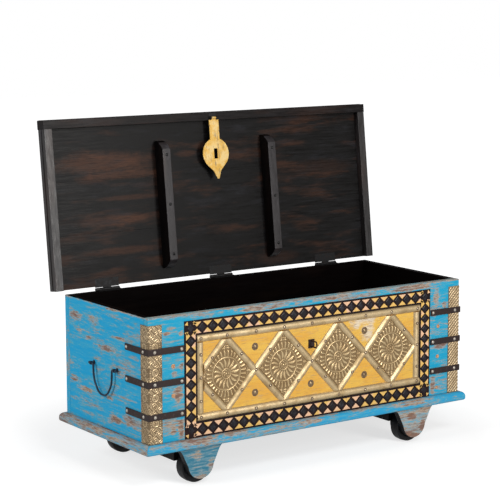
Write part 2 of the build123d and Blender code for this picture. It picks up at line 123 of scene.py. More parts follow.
floor_shape = bmesh.new()
bmesh.ops.create_grid(floor_shape, x_segments=1, y_segments=1, size=14)
floor_mesh = bpy.data.meshes.new("floor")
floor_shape.to_mesh(floor_mesh)
floor = bpy.data.objects.new("floor", floor_mesh)
scene.collection.objects.link(floor)
floor_paint = bpy.data.materials.new("pale floor")
floor_paint.use_nodes = True
floor_tree = floor_paint.node_tree
floor_shader = floor_tree.nodes["Principled BSDF"]
floor_shader.inputs["Base Color"].default_value = (0.45, 0.45, 0.45, 1)
floor_shader.inputs["Roughness"].default_value = 1
floor_shader.inputs["Specular IOR Level"].default_value = 0
floor_shader.inputs["Emission Color"].default_value = (1, 1, 1, 1)
# The floor's glow is painted light; its dimmer glow near the chest is painted shade.
seen = add_node(floor_tree, "LightPath").outputs["Is Camera Ray"]
spot = add_node(floor_tree, "TexCoord").outputs["Object"]
far = add_node(floor_tree, "VectorMath", [(0, spot)], operation="LENGTH").outputs["Value"]
painted_floor_shade_pairs = [("Value", far), ("From Min", 0.62), ("From Max", 1.15), ("To Min", 0.69), ("To Max", 0.98)]
away = add_node(floor_tree, "MapRange", painted_floor_shade_pairs)
floor_glow_with_painted_shade = add_node(floor_tree, "MapRange", [("Value", seen), ("To Min", 0.26), ("To Max", away.outputs[0])])
floor_tree.links.new(floor_glow_with_painted_shade.outputs[0], floor_shader.inputs["Emission Strength"])
floor_mesh.materials.append(floor_paint)

# ---- the four painted boards and the bottom ----
# Hardwood boards, butted at the corners and nailed. They are painted bright blue outside,
# rubbed back to the wood along the grain and the edges, and stained near-black inside, with
# painted shade making the inner faces and the level edges darker still.
box_low, box_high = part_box("front_panel")
front_face = box_low.y
body_floor = box_low.z
body_top = box_high.z
body_middle = (front_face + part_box("back_panel")[1].y) / 2
half_length = box_high.x


def calc(tree, operation, *values):
    """The result of a maths node."""
    made = add_node(tree, "Math", operation=operation)
    for socket, value in zip(made.inputs, values):
        set_input(tree, socket, value)
    return made.outputs[0]


def fade(tree, value, low, high, start=0.0, end=1.0):
    """A smooth step of a value between two limits."""
    pairs = [("Value", value), ("From Min", low), ("From Max", high)]
    pairs += [("To Min", start), ("To Max", end)]
    return add_node(tree, "MapRange", pairs, interpolation_type="SMOOTHSTEP").outputs[0]


def blend_colour(tree, share, first, second):
    made = add_node(tree, "Mix", data_type="RGBA")
    for place, value in ((0, share), (6, first), (7, second)):
        set_input(tree, made.inputs[place], value)
    return made.outputs[2]


def plain_noise(tree, vector, scale, detail, rough=0.5):
    """Noise between 0 and 1, the same in every direction."""
    pairs = [("Vector", vector), ("Scale", scale), ("Detail", detail), ("Roughness", rough)]
    return add_node(tree, "TexNoise", pairs).outputs["Fac"]


def stretched_noise(tree, vector, stretch, scale, detail, rough):
    """Noise between 0 and 1, drawn out along one direction."""
    drawn = add_node(tree, "VectorMath", [(0, vector), (1, stretch)], operation="MULTIPLY")
    return plain_noise(tree, drawn.outputs[0], scale, detail, rough)


def shader_group(name, inputs, outputs):
    """An empty node group with named sockets. Gives the tree and its two end nodes."""
    tree = bpy.data.node_groups.new(name, "ShaderNodeTree")
    for label, kind, value in inputs:
        socket = tree.interface.new_socket(label, in_out="INPUT", socket_type="NodeSocket" + kind)
        if value is not None:
            socket.default_value = value
    for label, kind in outputs:
        tree.interface.new_socket(label, in_out="OUTPUT", socket_type="NodeSocket" + kind)
    return tree, tree.nodes.new("NodeGroupInput"), tree.nodes.new("NodeGroupOutput")


def use_group(tree, group, pairs):
    made = tree.nodes.new("ShaderNodeGroup")
    made.node_tree = group
    for name, value in pairs:
        set_input(tree, made.inputs[name], value)
    return made


def new_material(name):
    """A material, its node tree, its shader and its object coordinates."""
    made = bpy.data.materials.new(name)
    made.use_nodes = True
    tree = made.node_tree
    place = add_node(tree, "TexCoord").outputs["Object"]
    return made, tree, tree.nodes["Principled BSDF"], place


def surface(tree, shader, colour, rough, height, strength, distance):
    """Gives a shader its colour, its roughness and a bump from the height."""
    set_input(tree, shader.inputs["Base Color"], colour)
    set_input(tree, shader.inputs["Roughness"], rough)
    pairs = [("Height", height), ("Strength", strength), ("Distance", distance)]
    tree.links.new(add_node(tree, "Bump", pairs).outputs[0], shader.inputs["Normal"])


def mark_mask(tree, place, marks, ragged=0.35):
    """A mask of soft-edged ellipsoids: each mark is its middle, its half sizes and its strength."""
    wobble = plain_noise(tree, place, 60.0, 5.0, 0.7)
    wobble = calc(tree, "MULTIPLY", calc(tree, "SUBTRACT", wobble, 0.5), 4 * ragged)
    total = None
    for middle, half, strength in marks:
        inverse = Vector(1 / h for h in half)
        shift = Vector(-m * i for m, i in zip(middle, inverse))
        pairs = [(0, place), (1, inverse), (2, shift)]
        shifted = add_node(tree, "VectorMath", pairs, operation="MULTIPLY_ADD").outputs[0]
        far = add_node(tree, "VectorMath", [(0, shifted)], operation="LENGTH")
        far = calc(tree, "ADD", far.outputs["Value"], wobble)
        mask = fade(tree, far, 1.25, 0.45, 0.0, strength)
        total = mask if total is None else calc(tree, "MAXIMUM", total, mask)
    return total


worn_paint, given, wanted = shader_group(
    "worn paint",
    [
        ("Vector", "Vector", None),
        ("Wear", "Float", 0.0),
        ("Marks", "Float", 0.0),
        ("Paint", "Color", None),
        ("Thin Paint", "Color", None),
        ("Grey Wood", "Color", None),
        ("Tan Wood", "Color", None),
        ("Rust Wood", "Color", None),
    ],
    [("Color", "Color"), ("Roughness", "Float"), ("Height", "Float")],
)
along = given.outputs["Vector"]
broad = stretched_noise(worn_paint, along, (1.0, 3.5, 3.5), 6.0, 5.0, 0.65)
streaks = stretched_noise(worn_paint, along, (1.8, 22.0, 22.0), 8.0, 8.0, 0.78)
ragged = stretched_noise(worn_paint, along, (5.0, 26.0, 26.0), 9.0, 6.0, 0.75)
fine = stretched_noise(worn_paint, along, (9.0, 120.0, 120.0), 7.0, 4.0, 0.7)
amount = given.outputs["Wear"]
for pattern, share in ((broad, 1.7), (streaks, 1.6), (ragged, 1.5)):
    amount = calc(worn_paint, "MULTIPLY_ADD", calc(worn_paint, "SUBTRACT", pattern, 0.5), share, amount)
amount = calc(worn_paint, "MULTIPLY_ADD", given.outputs["Marks"], 0.42, amount)
rubbed = fade(worn_paint, amount, 0.08, 0.40, 0, 0.94)
core = fade(worn_paint, calc(worn_paint, "MULTIPLY_ADD", fine, 0.3, amount), 0.56, 0.78, 0, 0.9)
thinned = fade(worn_paint, amount, -0.1, 0.2, 0, 0.45)
tone = calc(worn_paint, "ADD", fade(worn_paint, streaks, 0.40, 0.68, 0, 0.55), thinned)
paint = blend_colour(worn_paint, tone, given.outputs["Paint"], given.outputs["Thin Paint"])
hue = fade(worn_paint, stretched_noise(worn_paint, along, (1.0, 8.0, 8.0), 5.0, 4.0, 0.6), 0.44, 0.58)
wood = blend_colour(worn_paint, hue, given.outputs["Grey Wood"], given.outputs["Tan Wood"])
wood = blend_colour(worn_paint, core, wood, given.outputs["Rust Wood"])
wood = blend_colour(worn_paint, fade(worn_paint, fine, 0.56, 0.36, 0, 0.75), wood, (0.10, 0.075, 0.06, 1))
film = calc(worn_paint, "SUBTRACT", 1.0, calc(worn_paint, "MULTIPLY", rubbed, 0.8))
set_input(worn_paint, wanted.inputs["Color"], blend_colour(worn_paint, rubbed, paint, wood))
set_input(worn_paint, wanted.inputs["Roughness"], fade(worn_paint, rubbed, 0, 1, 0.5, 0.75))
set_input(worn_paint, wanted.inputs["Height"], calc(worn_paint, "MULTIPLY_ADD", fine, 0.5, film))

bright_blue = (0.001, 0.32, 0.60, 1)
thin_blue = (0.07, 0.37, 0.50, 1)


def painted_wood(name, turn, wear, marks=(), paint=bright_blue, shift=(0, 0, 0), thin=thin_blue):
    """Rubbed blue paint with the grain along X once turned. Marks are where it is most worn."""
    made, tree, shader, place = new_material(name)
    turned = add_node(tree, "Mapping", [("Vector", place), ("Rotation", turn), ("Location", shift)])
    pairs = [("Vector", turned.outputs[0]), ("Wear", wear), ("Paint", paint)]
    pairs += [("Thin Paint", thin), ("Grey Wood", (0.36, 0.37, 0.36, 1))]
    pairs += [("Tan Wood", (0.48, 0.36, 0.26, 1)), ("Rust Wood", (0.22, 0.085, 0.04, 1))]
    if marks:
        pairs.append(("Marks", mark_mask(tree, place, marks)))
    worn = use_group(tree, worn_paint, pairs).outputs
    shader.inputs["Specular IOR Level"].default_value = 0.15
    surface(tree, shader, worn["Color"], worn["Roughness"], worn["Height"], 0.5, 0.0006)
    return made


stained_wood, given, wanted = shader_group(
    "stained wood",
    [
        ("Vector", "Vector", None),
        ("Dark", "Color", None),
        ("Streak", "Color", None),
        ("Haze", "Color", None),
        ("Marks", "Float", 0.0),
    ],
    [("Color", "Color"), ("Roughness", "Float"), ("Height", "Float")],
)
along = given.outputs["Vector"]
broad = stretched_noise(stained_wood, along, (1.0, 5.0, 5.0), 4.5, 4.0, 0.6)
haze = stretched_noise(stained_wood, along, (1.3, 6.0, 6.0), 5.5, 5.0, 0.65)
fine = stretched_noise(stained_wood, along, (6.0, 120.0, 120.0), 6.0, 4.0, 0.6)
grain = stretched_noise(stained_wood, along, (2.0, 36.0, 36.0), 6.0, 6.0, 0.75)
pores = stretched_noise(stained_wood, along, (30.0, 400.0, 400.0), 5.0, 2.0, 0.5)
warm = calc(stained_wood, "ADD", fade(stained_wood, broad, 0.5, 0.68, 0, 0.55), given.outputs["Marks"])
colour = blend_colour(stained_wood, warm, given.outputs["Dark"], given.outputs["Streak"])
for share in (fade(stained_wood, haze, 0.52, 0.74, 0, 0.6), fade(stained_wood, grain, 0.52, 0.72, 0, 0.45)):
    colour = blend_colour(stained_wood, share, colour, given.outputs["Haze"])
coarse_lines = fade(stained_wood, grain, 0.48, 0.3, 0, 0.8)
lines = calc(stained_wood, "MAXIMUM", fade(stained_wood, fine, 0.58, 0.36, 0, 0.5), coarse_lines)
colour = blend_colour(stained_wood, lines, colour, (0.002, 0.0015, 0.0015, 1))
set_input(stained_wood, wanted.inputs["Color"], colour)
set_input(stained_wood, wanted.inputs["Roughness"], fade(stained_wood, grain, 0.35, 0.65, 0.32, 0.55))
ridge = calc(stained_wood, "MULTIPLY_ADD", pores, 0.4, calc(stained_wood, "ADD", fine, grain))
set_input(stained_wood, wanted.inputs["Height"], ridge)


def dark_wood(name, turn, dark, streak, bloom, marks=(), shift=(0, 0, 0), shine=0.3):
    """Near-black stain on open-grained wood, with red-brown streaks and a grey bloom."""
    made, tree, shader, place = new_material(name)
    turned = add_node(tree, "Mapping", [("Vector", place), ("Rotation", turn), ("Location", shift)])
    pairs = [("Vector", turned.outputs[0]), ("Dark", dark), ("Streak", streak), ("Haze", bloom)]
    if marks:
        pairs.append(("Marks", mark_mask(tree, place, marks, 0.2)))
    stain = use_group(tree, stained_wood, pairs).outputs
    shader.inputs["Specular IOR Level"].default_value = shine
    surface(tree, shader, stain["Color"], stain["Roughness"], stain["Height"], 0.25, 0.0004)
    return made


def as_piece(name, shape, materials, body, smooth_angle=40, stands_for=()):
    """A finished piece from a bmesh: riding on its body and materials."""
    mesh = bpy.data.meshes.new(name)
    for face in shape.faces:
        face.smooth = True
    shape.to_mesh(mesh)
    shape.free()
    mesh.set_sharp_from_angle(angle=math.radians(smooth_angle))
    for made in materials:
        mesh.materials.append(made)
    piece = bpy.data.objects.new(name, mesh)
    scene.collection.objects.link(piece)
    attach(piece, body)
    if stands_for:
        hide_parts(*stands_for)
    return piece


def eased(node, ease, materials, pick=None, sharp=30):
    """The CAD piece with its outer edges eased. Pick gives each face its material's number."""
    shape = bmesh.new()
    shape.from_mesh(frame["nodes"][node].data)
    bmesh.ops.remove_doubles(shape, verts=shape.verts, dist=1e-6)
    bmesh.ops.dissolve_limit(
        shape, angle_limit=math.radians(1), use_dissolve_boundaries=False,
        verts=shape.verts, edges=shape.edges,
    )
    limit = math.radians(sharp)
    corners = [e for e in shape.edges if e.is_manifold and e.is_convex and e.calc_face_angle() > limit]
    bmesh.ops.bevel(
        shape, geom=corners, offset=ease, segments=2, affect="EDGES", profile=0.5,
        material=-1, clamp_overlap=True,
    )
    bmesh.ops.recalc_face_normals(shape, faces=shape.faces)
    if pick:
        for face in shape.faces:
            face.material_index = pick(face)
    body = frame["nodes"][node]["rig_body"]
    piece = as_piece(node + "_eased", shape, materials, body, stands_for=[node])
    piece.modifiers.new("flat faces", "WEIGHTED_NORMAL").keep_sharp = True


def side_mark(back, up, half_back, half_up, strength=1.0):
    """A worn place on the left side, measured in millimetres from the box's middle and bottom."""
    middle = (-half_length, body_middle + back / 1000, body_floor + up / 1000)
    return middle, (0.03, half_back / 1000, half_up / 1000), strength


def front_mark(right, up, half_right, half_up, strength=1.0):
    """A worn place on the front, measured in millimetres from the box's middle and bottom."""
    middle = (right / 1000, front_face, body_floor + up / 1000)
    return middle, (half_right / 1000, 0.03, half_up / 1000), strength


worn_top = ((0, body_middle, body_top), (9, 9, 0.005), 0.75)
left_marks = [
    worn_top,
    side_mark(155, 277, 46, 15, 0.85),
    side_mark(60, 281, 32, 11),
    side_mark(140, 242, 18, 5),
    side_mark(92, 228, 16, 7, 0.8),
    side_mark(2, 215, 50, 7, 0.9),
    side_mark(-65, 255, 38, 5, 0.8),
    side_mark(-150, 215, 28, 7),
    side_mark(-77, 160, 30, 16, 0.9),
    side_mark(28, 155, 28, 6, 0.7),
    side_mark(170, 105, 22, 10, 0.75),
    side_mark(110, 85, 44, 9, 0.85),
    side_mark(-20, 85, 22, 6),
    side_mark(-100, 100, 60, 4, 0.8),
    side_mark(-45, 35, 42, 13, 0.95),
    side_mark(-112, 45, 36, 19, 0.85),
    side_mark(102, 22, 38, 5, 0.9),
    side_mark(208, 200, 8, 13, 0.9),
    side_mark(202, 145, 10, 19, 0.9),
]
front_marks = [
    worn_top,
    front_mark(-450, 297, 15, 7),
    front_mark(-464, 283, 10, 5, 0.8),
    front_mark(-421, 279, 9, 8, 0.9),
    front_mark(-443, 178, 10, 13),
    front_mark(-421, 192, 7, 15, 0.9),
    front_mark(-430, 124, 16, 24, 0.95),
    front_mark(-424, 30, 9, 24, 0.9),
    front_mark(-447, 26, 9, 10, 0.6),
    front_mark(435, 282, 13, 26, 0.95),
    front_mark(466, 260, 8, 10, 0.8),
    front_mark(428, 232, 9, 6, 0.9),
    front_mark(448, 140, 28, 10, 0.9),
    front_mark(425, 32, 10, 32, 0.9),
    front_mark(447, 20, 12, 6, 0.8),
    front_mark(-330, 322, 70, 6, 0.8),
    front_mark(-150, 319, 110, 9, 1.0),
    front_mark(60, 322, 90, 7, 0.8),
    front_mark(170, 316, 90, 6, 0.7),
    front_mark(330, 320, 90, 9, 1.0),
]
quarter = math.radians(90)
blue_side = painted_wood("blue paint on the side", (0, 0, quarter), 0.05, left_marks)
blue_front = painted_wood(
    "blue paint on the front", (0, 0, 0), 0.07, front_marks, (0.006, 0.32, 0.54, 1), (3, 0, 0)
)
blue_right = painted_wood("blue paint on the right side", (0, 0, quarter), 0.06, [worn_top], shift=(5, 1, 2))
blue_back = painted_wood("blue paint on the back", (0, 0, 0), 0.05, [worn_top], shift=(1, 7, 4))
top_wood = painted_wood(
    "rubbed paint on the front's top", (0, 0, 0), 0.22, shift=(2, 3, 9),
    paint=(0.10, 0.33, 0.42, 1), thin=(0.30, 0.40, 0.40, 1),
)
# The inside is darker than any stain: black stain and painted shade together.
inside_stain_and_shade_colours = ((0.002, 0.001, 0.001, 1), (0.006, 0.003, 0.002, 1), (0.003, 0.002, 0.002, 1))
inside_stain_and_shade = dark_wood("black stain and painted shade inside", (0, 0, 0), *inside_stain_and_shade_colours, shine=0.03)
inside_stain_and_shade_side = dark_wood("black stain and painted shade inside the ends", (0, 0, quarter), *inside_stain_and_shade_colours, shine=0.03)


def outside_or_in(face):
    """0 for what is painted, 1 for the stain with painted shade: the inner faces and the level ones."""
    outward = face.calc_center_median() - Vector((0, body_middle, 0))
    outward.z = 0
    level = abs(face.normal.z) > 0.8
    return 1 if level or face.normal.dot(outward) < 0 else 0


def front_faces(face):
    """0 for the painted front, 1 for the stained back with painted shade and 2 for the rubbed top."""
    if face.normal.z > 0.8 and face.calc_center_median().z > body_top - 0.01:
        return 2
    return 1 if face.normal.y > 0.8 and face.calc_center_median().y > front_face + 0.015 else 0


eased("left_panel", 0.0015, [blue_side, inside_stain_and_shade_side], outside_or_in)
eased("right_panel", 0.0015, [blue_right, inside_stain_and_shade_side], outside_or_in)
eased("back_panel", 0.0015, [blue_back, inside_stain_and_shade], outside_or_in)
eased("front_panel", 0.0015, [blue_front, inside_stain_and_shade, top_wood], front_faces)
eased("bottom_board", 0.001, [inside_stain_and_shade])

# ---- wooden plugs over the screws ----
# Round plugs of pale wood close the screw holes beside the decoration. Each one is a low
# button with a rubbed rim, glued in and sanded almost flush.
plug_places = [(-446, 197, 6.5), (-446, 120, 6.5), (443, 199, 6), (442, 112, 6), (440, 22, 5)]
plug_wood, tree, shader, place = new_material("plug wood")
end_grain = fade(tree, plain_noise(tree, place, 300.0, 3.0), 0.4, 0.6)
plug_colour = blend_colour(tree, end_grain, (0.62, 0.36, 0.18, 1), (0.30, 0.12, 0.06, 1))
set_input(tree, shader.inputs["Base Color"], plug_colour)
shader.inputs["Roughness"].default_value = 0.6
facing = Matrix.Rotation(quarter, 4, "X")
plugs = bmesh.new()
for right, up, radius in plug_places:
    place = Matrix.Translation((right / 1000, front_face - 0.0003, body_floor + up / 1000)) @ facing
    for wide, deep in ((radius, 1.2), (radius * 0.55, 2.0)):
        bmesh.ops.create_cone(
            plugs, cap_ends=True, segments=24, radius1=wide / 1000, radius2=wide * 0.86 / 1000,
            depth=deep / 1000, matrix=place,
        )
as_piece("wood_plugs", plugs, [plug_wood], "chest")

# ---- the plinth ----
# Four mitred mouldings with rounded noses run round the foot of the box. The paint is
# rubbed off the noses, most of all on the left and at the left end of the front.
nose_marks = [
    front_mark(-400, -8, 120, 16, 1.0),
    front_mark(-265, -4, 40, 10, 0.9),
    front_mark(-20, -10, 60, 8, 0.7),
    front_mark(175, 0, 60, 10, 0.9),
    front_mark(330, -8, 70, 9, 0.75),
]
plinth_front_paint = painted_wood(
    "worn paint on the front plinth", (0, 0, 0), 0.06, nose_marks, (0.02, 0.30, 0.56, 1), (11, 2, 0)
)
plinth_side_paint = painted_wood("worn paint on the side plinths", (0, 0, quarter), 0.46, shift=(4, 9, 1))
plinth_back_paint = painted_wood("worn paint on the back plinth", (0, 0, 0), 0.08, shift=(8, 5, 3))
eased("plinth_front", 0.0015, [plinth_front_paint], sharp=40)
for node in ("plinth_left", "plinth_right"):
    eased(node, 0.0015, [plinth_side_paint], sharp=40)
eased("plinth_back", 0.0015, [plinth_back_paint], sharp=40)

# ---- feet: rails, brackets, blocks, wheels and axles ----
# Black painted bars under both ends carry turned wooden wheels on iron axles, behind
# sawn brackets in rubbed blue paint.
bracket_marks = []
for node in ("foot_bracket_front_left", "foot_bracket_front_right"):
    low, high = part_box(node)
    middle_x = (low.x + high.x) / 2
    bracket_marks.append(((middle_x - 0.012, low.y, high.z - 0.024), (0.02, 0.03, 0.014), 0.95))
    bracket_marks.append(((middle_x, low.y, low.z), (0.05, 0.03, 0.012), 0.9))
    bracket_marks.append(((middle_x + 0.03, low.y, low.z + 0.03), (0.01, 0.03, 0.02), 0.7))
left_bracket_paint = painted_wood(
    "faded paint on the left brackets", (0, 0, 0), 0.14, bracket_marks,
    (0.028, 0.17, 0.26, 1), (6, 6, 2), (0.20, 0.33, 0.38, 1),
)
right_bracket_paint = painted_wood(
    "faded paint on the right brackets", (0, 0, 0), 0.30, bracket_marks,
    (0.05, 0.33, 0.50, 1), (1, 6, 9), (0.33, 0.44, 0.48, 1),
)
black_wood = dark_wood(
    "black paint on the feet", (0, 0, quarter),
    (0.004, 0.004, 0.005, 1), (0.010, 0.008, 0.007, 1), (0.010, 0.010, 0.011, 1), shine=0.15,
)
for node in ("foot_rail_left", "foot_rail_right"):
    eased(node, 0.0015, [black_wood])


def finish_node(node, made):
    """The CAD piece keeps its shape and takes this material."""
    mesh = frame["nodes"][node].data
    mesh.materials.clear()
    mesh.materials.append(made)
    for face in mesh.polygons:
        face.material_index = 0


def bracket_side(face):
    """0 for the painted faces, 1 for the sawn edge, which is black."""
    return 0 if abs(face.normal.y) > 0.25 else 1


for node in ("foot_bracket_front_left", "foot_bracket_back_left"):
    eased(node, 0.0015, [left_bracket_paint, black_wood], bracket_side, 40)
for node in ("foot_bracket_front_right", "foot_bracket_back_right"):
    eased(node, 0.0015, [right_bracket_paint, black_wood], bracket_side, 40)
finish_node("axle_blocks", black_wood)

wheel_paint, tree, shader, place = new_material("black paint on the wheels")
scuffs = plain_noise(tree, place, 55.0, 6.0, 0.7)
scuffed = fade(tree, scuffs, 0.56, 0.72, 0, 0.7)
black = blend_colour(tree, scuffed, (0.004, 0.004, 0.005, 1), (0.03, 0.022, 0.018, 1))
shader.inputs["Specular IOR Level"].default_value = 0.3
surface(tree, shader, black, fade(tree, scuffs, 0.3, 0.7, 0.3, 0.6), scuffs, 0.2, 0.0006)


def turned_wheel(node):
    """A wheel turned from one piece: a rounded tread, a groove on both faces and a raised hub."""
    low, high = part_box(node)
    radius = (high.z - low.z) / 2
    half = (high.y - low.y) / 2
    bore, groove = 0.00605, 0.0025
    one_face = [
        (bore, half), (0.013, half), (0.014, half - groove), (0.030, half - groove), (0.032, half),
        (radius - 0.004, half), (radius - 0.001, half - groove),
    ]
    outline = [(r, -y) for r, y in one_face] + [(radius, 0)] + one_face[::-1]
    shape = bmesh.new()
    points = [shape.verts.new((r, y, 0)) for r, y in outline]
    edges = [shape.edges.new(pair) for pair in zip(points, points[1:] + points[:1])]
    bmesh.ops.spin(
        shape, geom=points + edges, cent=(0, 0, 0), axis=(0, 1, 0), angle=math.tau, steps=56,
        use_merge=True,
    )
    bmesh.ops.remove_doubles(shape, verts=shape.verts, dist=1e-6)
    bmesh.ops.recalc_face_normals(shape, faces=shape.faces)
    bmesh.ops.translate(shape, verts=shape.verts, vec=(low + high) / 2)
    as_piece(node + "_turned", shape, [wheel_paint], node, 30, [node])


for node in ("wheel_front_left", "wheel_front_right", "wheel_back_left", "wheel_back_right"):
    turned_wheel(node)

rough_iron, given, wanted = shader_group(
    "forged iron",
    [("Vector", "Vector", None), ("Dark", "Color", None), ("Rubbed", "Color", None), ("Rust", "Color", None)],
    [("Color", "Color"), ("Roughness", "Float"), ("Height", "Float")],
)
along = given.outputs["Vector"]
blows = add_node(rough_iron, "TexVoronoi", [("Vector", along), ("Scale", 190.0)]).outputs["Distance"]
patina = plain_noise(rough_iron, along, 90.0, 5.0, 0.7)
rusty = fade(rough_iron, patina, 0.52, 0.7, 0, 0.75)
colour = blend_colour(rough_iron, rusty, given.outputs["Dark"], given.outputs["Rust"])
rubbed = fade(rough_iron, patina, 0.42, 0.28, 0, 0.6)
colour = blend_colour(rough_iron, rubbed, colour, given.outputs["Rubbed"])
set_input(rough_iron, wanted.inputs["Color"], colour)
set_input(rough_iron, wanted.inputs["Roughness"], fade(rough_iron, patina, 0.3, 0.7, 0.38, 0.66))
set_input(rough_iron, wanted.inputs["Height"], calc(rough_iron, "MULTIPLY_ADD", patina, 0.5, blows))


def iron(name, dark, rubbed, rust, metal=0.6):
    """Forged iron with a brown skin, rubbed bright on the high places."""
    made, tree, shader, place = new_material(name)
    pairs = [("Vector", place), ("Dark", dark), ("Rubbed", rubbed), ("Rust", rust)]
    skin = use_group(tree, rough_iron, pairs).outputs
    shader.inputs["Metallic"].default_value = metal
    surface(tree, shader, skin["Color"], skin["Roughness"], skin["Height"], 0.25, 0.0005)
    return made


dark_iron = iron("dark iron", (0.020, 0.016, 0.016, 1), (0.10, 0.085, 0.08, 1), (0.05, 0.022, 0.014, 1))
finish_node("wheel_axles", dark_iron)

# ---- brass angles, iron straps and nails on the front corners ----
# Embossed brass sheet is bent round each front corner: diamonds and flowers on the left, a
# woven pattern on the right. Three forged straps hold each sheet, with domed nails.
old_brass, given, wanted = shader_group(
    "old brass",
    [
        ("Vector", "Vector", None),
        ("Hollow", "Float", 0.0),
        ("Bright", "Color", None),
        ("Dull", "Color", None),
        ("Dirt", "Color", None),
    ],
    [("Color", "Color"), ("Roughness", "Float"), ("Height", "Float")],
)
cloud = plain_noise(old_brass, given.outputs["Vector"], 28.0, 5.0, 0.6)
speck = plain_noise(old_brass, given.outputs["Vector"], 260.0, 4.0, 0.7)
dulled = fade(old_brass, cloud, 0.42, 0.66, 0, 0.8)
colour = blend_colour(old_brass, dulled, given.outputs["Bright"], given.outputs["Dull"])
dirt = calc(old_brass, "ADD", given.outputs["Hollow"], fade(old_brass, speck, 0.58, 0.74, 0, 0.35))
colour = blend_colour(old_brass, dirt, colour, given.outputs["Dirt"])
set_input(old_brass, wanted.inputs["Color"], colour)
rough = fade(old_brass, cloud, 0.35, 0.7, 0.26, 0.42)
rough = calc(old_brass, "MULTIPLY_ADD", given.outputs["Hollow"], 0.28, rough)
set_input(old_brass, wanted.inputs["Roughness"], rough)
set_input(old_brass, wanted.inputs["Height"], calc(old_brass, "MULTIPLY_ADD", speck, 0.5, cloud))


def brass(name, bright, dull, dirt, clean_height=None, metal=0.9, dents=0.0006, rough=0.0):
    """Tarnished brass. Embossed work gathers dirt wherever its relief is below the clean height."""
    made, tree, shader, place = new_material(name)
    pairs = [("Vector", place), ("Bright", bright), ("Dull", dull), ("Dirt", dirt)]
    if clean_height:
        height = add_node(tree, "Attribute", attribute_name="relief").outputs["Fac"]
        pairs.append(("Hollow", fade(tree, height, clean_height, 0.0, 0.0, 0.85)))
    skin = use_group(tree, old_brass, pairs).outputs
    shader.inputs["Metallic"].default_value = metal
    roughness = calc(tree, "ADD", skin["Roughness"], rough)
    surface(tree, shader, skin["Color"], roughness, skin["Height"], 0.15, dents)
    return made


def ring(radius, at, width):
    """A rounded ridge, 1 high, where the radius is at the given one."""
    away = (radius - at) / width
    return math.exp(-away * away)


def store_relief(mesh, values):
    layer = mesh.attributes.new("relief", "FLOAT", "POINT")
    layer.data.foreach_set("value", values)


def angle_sheet(name, node, side, height_at, made):
    """Embossed sheet bent round a front corner. The height comes from the place across and up."""
    low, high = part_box(node)
    thick, bend, plain_rim, relief_depth = 0.0012, 0.003, 0.002, 0.0013
    front_width = high.x - low.x - thick
    side_width = high.y - low.y - thick
    corner = Vector((-half_length, front_face, low.z))
    wide = front_width + side_width
    up = high.z - low.z
    shape = bmesh.new()
    bmesh.ops.create_grid(shape, x_segments=72, y_segments=280, size=0.5)
    heights = []
    for vert in shape.verts:
        across = (vert.co.x + 0.5) * wide - side_width
        z = (vert.co.y + 0.5) * up
        edge = min(across + side_width, front_width - across, z, up - z)
        rise = max(0.0, min(1.0, edge / plain_rim)) * height_at(across, z)
        # On the left sheet the side face stores a lower relief, so the brass there takes more dirt colour:
        # painted shade on that face.
        heights.append(rise * (0.75 if across < 0 and side < 0 else 1.0))
        out = thick + rise * relief_depth
        if abs(across) < bend:
            turn = (across / bend + 1) * quarter / 2
            radius = bend + out
            x = bend - radius * math.cos(turn)
            y = bend - radius * math.sin(turn)
        elif across < 0:
            x, y = -out, -across
        else:
            x, y = across, -out
        vert.co = corner + Vector((x, y, z))
    shape.verts.ensure_lookup_table()
    if side > 0:
        bmesh.ops.scale(shape, verts=shape.verts, vec=(-1, 1, 1))
    bmesh.ops.recalc_face_normals(shape, faces=shape.faces)
    sample = shape.faces[len(shape.faces) // 2]
    away = sample.calc_center_median() - Vector((0, body_middle, 0))
    away.z = 0
    if sample.normal.dot(away) < 0:
        bmesh.ops.reverse_faces(shape, faces=shape.faces)
    piece = as_piece(name, shape, [made], "chest", 60, [node])
    store_relief(piece.data, heights)
    solid = piece.modifiers.new("sheet", "SOLIDIFY")
    solid.thickness = 0.0011
    solid.offset = -1


def leafy(across, z):
    """Two rows of nested diamonds to each row of flowers, with one on each face of the angle."""
    middle = 0.019 if across > 0 else -0.0175
    row_height = 0.022
    side, row = across - middle, z / row_height
    up = (row % 1.0 - 0.5) * row_height
    wave = 0.0012 * math.sin(across * 410 + z * 370)
    if math.floor(row) % 3 < 2:
        height = 0.5 + 0.5 * math.cos(math.tau * (abs(side) + abs(up) + wave) / 0.0075)
    else:
        far, turn = math.hypot(side, up), math.atan2(up, side)
        curl = 0.5 + 0.5 * math.cos(6 * turn + far * 500)
        beads = 0.5 + 0.5 * math.cos(14 * turn)
        height = max(
            ring(far, 0.0085, 0.0019), curl * ring(far, 0.004, 0.0024), beads * ring(far, 0.0145, 0.0016)
        )
    return height**1.4


def woven(across, z):
    """Fine bands that cross on the slant."""
    pitch = 0.0105
    first = 0.5 + 0.5 * math.cos(math.tau * (across + z) / pitch)
    second = 0.5 + 0.5 * math.cos(math.tau * (across - z) / pitch)
    return max(first**3, 0.75 * second**3)


angle_brass = brass(
    "embossed brass on the corners", (0.66, 0.50, 0.30, 1), (0.46, 0.33, 0.18, 1),
    (0.13, 0.085, 0.045, 1), clean_height=0.85, metal=0.6,
)
angle_sheet("corner_sheet_left", "corner_angle_left", -1, leafy, angle_brass)
angle_sheet("corner_sheet_right", "corner_angle_right", 1, woven, angle_brass)

strap_iron = iron(
    "brown iron straps", (0.024, 0.013, 0.012, 1), (0.09, 0.06, 0.055, 1), (0.045, 0.018, 0.014, 1), 0.4
)
for node in ("corner_straps_left", "corner_straps_right"):
    eased(node, 0.0008, [strap_iron])
nail_iron = iron(
    "rubbed nail heads", (0.50, 0.46, 0.40, 1), (0.85, 0.82, 0.76, 1), (0.24, 0.16, 0.11, 1), 0.8
)
finish_node("strap_nails", nail_iron)

